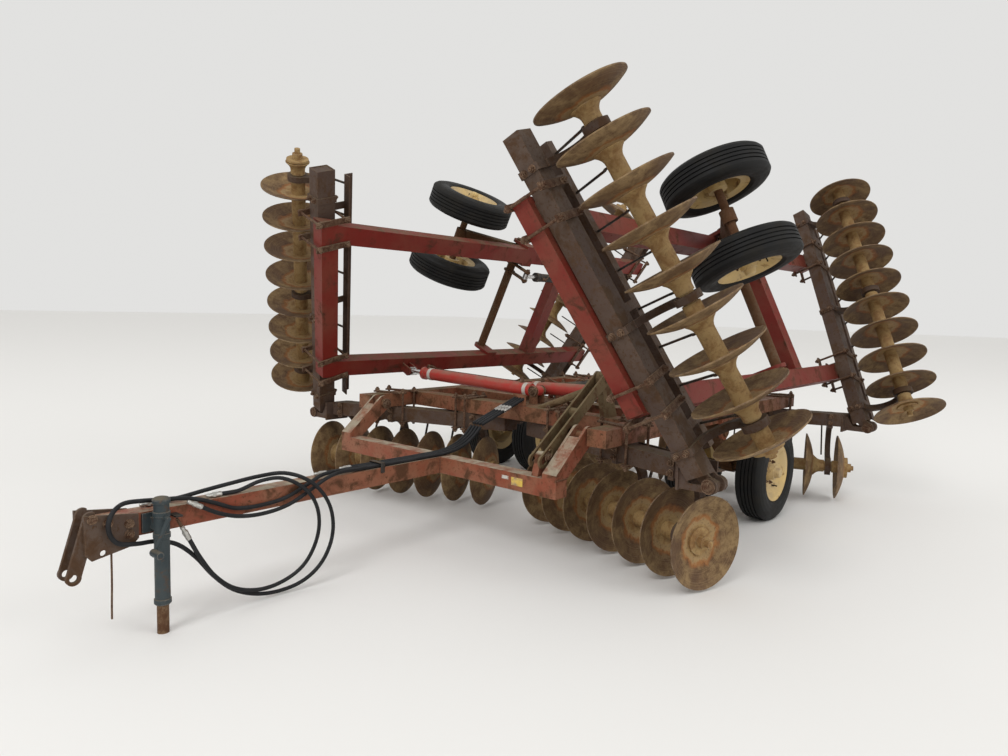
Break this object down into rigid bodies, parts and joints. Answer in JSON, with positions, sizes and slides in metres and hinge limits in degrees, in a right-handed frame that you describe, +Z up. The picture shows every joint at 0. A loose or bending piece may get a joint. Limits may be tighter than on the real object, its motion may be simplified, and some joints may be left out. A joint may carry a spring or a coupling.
{
  "type": "disc harrow",
  "caption": "Pull-type tandem disc harrow with hinged wings folded up for transport, disc gangs, paired gauge wheels, drawbar, jack and hydraulic cylinders.",
  "frame": {"origin": "on the ground under the middle of the parked machine's length and width", "axes": "+X to the machine's left, -Y ahead towards the hitch, +Z up"},
  "size_m": [4.396, 6.1898, 2.6442],
  "materials": {
    "frame_paint": "faded red paint with dirt on its upper faces",
    "beam_paint": "dark weathered brown over rust",
    "link_paint": "brown rust with olive dirt",
    "disc_steel": "ochre rust with bare worn patches",
    "rod_steel": "blackened rod",
    "jack_paint": "blue grey paint, scratched",
    "jack_rust": "rusty tube",
    "tyre": "ribbed, dusty",
    "rim_paint": "cream yellow paint, dusty",
    "fold_paint": "bright red paint",
    "lift_paint": "black paint",
    "chrome_rod": "plated rod",
    "hose_rubber": "ribbed rubber cover, dusty",
    "zinc": "plated, dull"
  },
  "bodies": {
    "centre_frame": {"main_frame": "frame_paint", "centre_front_beams": "beam_paint", "centre_rear_beams": "beam_paint", "centre_hangers": "beam_paint", "centre_scrapers": "rod_steel", "level_mast": "link_paint", "frame_hoses": "hose_rubber"},
    "drawbar": {"tongue": "frame_paint", "cross_tube": "frame_paint", "hitch": "beam_paint", "jack_tube": "jack_paint", "hose_long": "hose_rubber", "hose_side": "hose_rubber", "hose_loop": "hose_rubber", "couplings": "zinc", "tongue_hoses": "hose_rubber"},
    "jack_leg": {"jack_leg": "jack_rust"},
    "level_link": {"level_link": "link_paint"},
    "wing_left": {"wing_frame_left": "frame_paint", "wing_beams_left": "beam_paint", "wing_hangers_left": "beam_paint", "wing_scrapers_left": "rod_steel"},
    "front_gang_left": {"front_gang_left": "disc_steel"},
    "wing_front_gang_left": {"wing_front_gang_left": "disc_steel"},
    "rear_gang_left": {"rear_gang_left": "disc_steel"},
    "wing_rear_gang_left": {"wing_rear_gang_left": "disc_steel"},
    "wing_right": {"wing_frame_right": "frame_paint", "wing_beams_right": "beam_paint", "wing_hangers_right": "beam_paint", "wing_scrapers_right": "rod_steel"},
    "front_gang_right": {"front_gang_right": "disc_steel"},
    "wing_front_gang_right": {"wing_front_gang_right": "disc_steel"},
    "rear_gang_right": {"rear_gang_right": "disc_steel"},
    "wing_rear_gang_right": {"wing_rear_gang_right": "disc_steel"},
    "rockshaft_centre": {"rockshaft_centre": "link_paint"},
    "wheels_centre_left": {"tyres_centre_left": "tyre", "rims_centre_left": "rim_paint"},
    "rockshaft_left": {"rockshaft_left": "link_paint"},
    "wheels_wing_left": {"tyres_wing_left": "tyre", "rims_wing_left": "rim_paint"},
    "wheels_centre_right": {"tyres_centre_right": "tyre", "rims_centre_right": "rim_paint"},
    "rockshaft_right": {"rockshaft_right": "link_paint"},
    "wheels_wing_right": {"tyres_wing_right": "tyre", "rims_wing_right": "rim_paint"},
    "lift_barrel_centre": {"lift_barrel_centre": "lift_paint"},
    "lift_rod_centre": {"lift_rod_centre": "chrome_rod"},
    "lift_barrel_left": {"lift_barrel_left": "lift_paint"},
    "lift_rod_left": {"lift_rod_left": "chrome_rod"},
    "lift_barrel_right": {"lift_barrel_right": "lift_paint"},
    "lift_rod_right": {"lift_rod_right": "chrome_rod"},
    "fold_barrel_left": {"fold_barrel_left": "fold_paint"},
    "fold_rod_left": {"fold_rod_left": "chrome_rod"},
    "fold_barrel_right": {"fold_barrel_right": "fold_paint"},
    "fold_rod_right": {"fold_rod_right": "chrome_rod"}
  },
  "joints": [
    {"name": "drawbar_pitch", "type": "hinge", "parent": "centre_frame", "child": "drawbar", "pos_m": [0, -0.69988, 0.75], "axis": [1, 0, 0], "range_deg": [-6, 6]},
    {"name": "level_link_swing", "type": "hinge", "parent": "centre_frame", "child": "level_link", "pos_m": [0.775, -0.33988, 1.05], "axis": [1, 0, 0], "range_deg": [-2.1, 2.1]},
    {"name": "jack_slide", "type": "slide", "parent": "drawbar", "child": "jack_leg", "axis": [0, 0, 1], "range_m": [0, 0.2]},
    {"name": "wing_left_fold", "type": "hinge", "parent": "centre_frame", "child": "wing_left", "pos_m": [1.68, 0.90012, 0.595], "axis": [0, 1, 0], "range_deg": [0, 115.3]},
    {"name": "front_gang_left_spin", "type": "hinge", "parent": "centre_frame", "child": "front_gang_left", "pos_m": [1.0124, -0.40439, 0.265], "axis": [0.9537, -0.3007, 0], "continuous": true},
    {"name": "wing_front_gang_left_spin", "type": "hinge", "parent": "wing_left", "child": "wing_front_gang_left", "pos_m": [1.61153, -0.88552, 1.51204], "axis": [-0.4076, -0.3007, 0.8622], "continuous": true},
    {"name": "rear_gang_left_spin", "type": "hinge", "parent": "centre_frame", "child": "rear_gang_left", "pos_m": [1.02222, 1.8437, 0.265], "axis": [0.9397, 0.342, 0], "continuous": true},
    {"name": "wing_rear_gang_left_spin", "type": "hinge", "parent": "wing_left", "child": "wing_rear_gang_left", "pos_m": [1.61692, 2.39094, 1.50063], "axis": [-0.4016, 0.342, 0.8496], "continuous": true},
    {"name": "wing_right_fold", "type": "hinge", "parent": "centre_frame", "child": "wing_right", "pos_m": [-1.68, 0.90012, 0.595], "axis": [0, -1, 0], "range_deg": [0, 115.3]},
    {"name": "front_gang_right_spin", "type": "hinge", "parent": "centre_frame", "child": "front_gang_right", "pos_m": [-1.0124, -0.40439, 0.265], "axis": [-0.9537, -0.3007, 0], "continuous": true},
    {"name": "wing_front_gang_right_spin", "type": "hinge", "parent": "wing_right", "child": "wing_front_gang_right", "pos_m": [-1.61153, -0.88552, 1.51204], "axis": [0.4076, -0.3007, 0.8622], "continuous": true},
    {"name": "rear_gang_right_spin", "type": "hinge", "parent": "centre_frame", "child": "rear_gang_right", "pos_m": [-1.02222, 1.8437, 0.265], "axis": [-0.9397, 0.342, 0], "continuous": true},
    {"name": "wing_rear_gang_right_spin", "type": "hinge", "parent": "wing_right", "child": "wing_rear_gang_right", "pos_m": [-1.61692, 2.39094, 1.50063], "axis": [0.4016, 0.342, 0.8496], "continuous": true},
    {"name": "rockshaft_centre_turn", "type": "hinge", "parent": "centre_frame", "child": "rockshaft_centre", "pos_m": [0, 0.75012, 0.64], "axis": [1, 0, 0], "range_deg": [0, 20]},
    {"name": "wheels_centre_left_spin", "type": "hinge", "parent": "rockshaft_centre", "child": "wheels_centre_left", "pos_m": [1.015, 1.05012, 0.345], "axis": [1, 0, 0], "continuous": true},
    {"name": "rockshaft_left_turn", "type": "hinge", "parent": "wing_left", "child": "rockshaft_left", "pos_m": [1.1647, 0.90012, 1.56812], "axis": [0.4274, 0, -0.9041], "range_deg": [0, 20]},
    {"name": "wheels_wing_left_spin", "type": "hinge", "parent": "rockshaft_left", "child": "wheels_wing_left", "pos_m": [1.20244, 0.41012, 2.06158], "axis": [-0.4274, 0, 0.9041], "continuous": true},
    {"name": "wheels_centre_right_spin", "type": "hinge", "parent": "rockshaft_centre", "child": "wheels_centre_right", "pos_m": [-1.015, 1.05012, 0.345], "axis": [-1, 0, 0], "continuous": true},
    {"name": "rockshaft_right_turn", "type": "hinge", "parent": "wing_right", "child": "rockshaft_right", "pos_m": [-1.1647, 0.90012, 1.56812], "axis": [0.4274, 0, 0.9041], "range_deg": [0, 20]},
    {"name": "wheels_wing_right_spin", "type": "hinge", "parent": "rockshaft_right", "child": "wheels_wing_right", "pos_m": [-1.20244, 0.41012, 2.06158], "axis": [0.4274, 0, 0.9041], "continuous": true},
    {"name": "lift_barrel_centre_swing", "type": "hinge", "parent": "centre_frame", "child": "lift_barrel_centre", "pos_m": [0, 0.22012, 0.87], "axis": [1, 0, 0], "range_deg": [-0.000119, 0.059498]},
    {"name": "lift_rod_centre_slide", "type": "slide", "parent": "lift_barrel_centre", "child": "lift_rod_centre", "axis": [0, 0.9999, 0.014], "range_m": [-0.08398, 0.00017]},
    {"name": "lift_barrel_left_swing", "type": "hinge", "parent": "wing_left", "child": "lift_barrel_left", "pos_m": [0.84187, 1.46212, 1.73629], "axis": [-0.4274, 0, 0.9041], "range_deg": [-0.001593, 0.79801]},
    {"name": "lift_rod_left_slide", "type": "slide", "parent": "lift_barrel_left", "child": "lift_rod_left", "axis": [0.0155, -0.9999, 0.0073], "range_m": [-0.07302, 0.00015]},
    {"name": "lift_barrel_right_swing", "type": "hinge", "parent": "wing_right", "child": "lift_barrel_right", "pos_m": [-0.84187, 1.46212, 1.73629], "axis": [-0.4274, 0, -0.9041], "range_deg": [-0.001593, 0.79801]},
    {"name": "lift_rod_right_slide", "type": "slide", "parent": "lift_barrel_right", "child": "lift_rod_right", "axis": [-0.0155, -0.9999, 0.0073], "range_m": [-0.07302, 0.00015]},
    {"name": "fold_barrel_left_swing", "type": "hinge", "parent": "centre_frame", "child": "fold_barrel_left", "pos_m": [-0.1, 0.03012, 0.89], "axis": [0, 1, 0], "range_deg": [0, 1.56]},
    {"name": "fold_rod_left_slide", "type": "slide", "parent": "fold_barrel_left", "child": "fold_rod_left", "axis": [0.9995, 0, 0.0307], "range_m": [-0.00186, 0.92943]},
    {"name": "fold_barrel_right_swing", "type": "hinge", "parent": "centre_frame", "child": "fold_barrel_right", "pos_m": [0.1, -0.11988, 0.89], "axis": [0, -1, 0], "range_deg": [0, 1.56]},
    {"name": "fold_rod_right_slide", "type": "slide", "parent": "fold_barrel_right", "child": "fold_rod_right", "axis": [-0.9995, 0, 0.0307], "range_m": [-0.00186, 0.92943]}
  ],
  "couplings": [
    {"joint": "level_link_swing", "follows": "drawbar_pitch", "ratio": 0.34218},
    {"joint": "lift_barrel_centre_swing", "follows": "rockshaft_centre_turn", "ratio": 0.002969},
    {"joint": "lift_rod_centre_slide", "follows": "rockshaft_centre_turn", "m_per_rad": -0.24011},
    {"joint": "lift_barrel_left_swing", "follows": "rockshaft_left_turn", "ratio": 0.039821},
    {"joint": "lift_rod_left_slide", "follows": "rockshaft_left_turn", "m_per_rad": -0.20876},
    {"joint": "lift_barrel_right_swing", "follows": "rockshaft_right_turn", "ratio": 0.039821},
    {"joint": "lift_rod_right_slide", "follows": "rockshaft_right_turn", "m_per_rad": -0.20876},
    {"joint": "fold_barrel_left_swing", "follows": "wing_left_fold", "ratio": 0.013521},
    {"joint": "fold_rod_left_slide", "follows": "wing_left_fold", "m_per_rad": 0.46094},
    {"joint": "fold_barrel_right_swing", "follows": "wing_right_fold", "ratio": 0.013521},
    {"joint": "fold_rod_right_slide", "follows": "wing_right_fold", "m_per_rad": 0.46094}
  ]
}
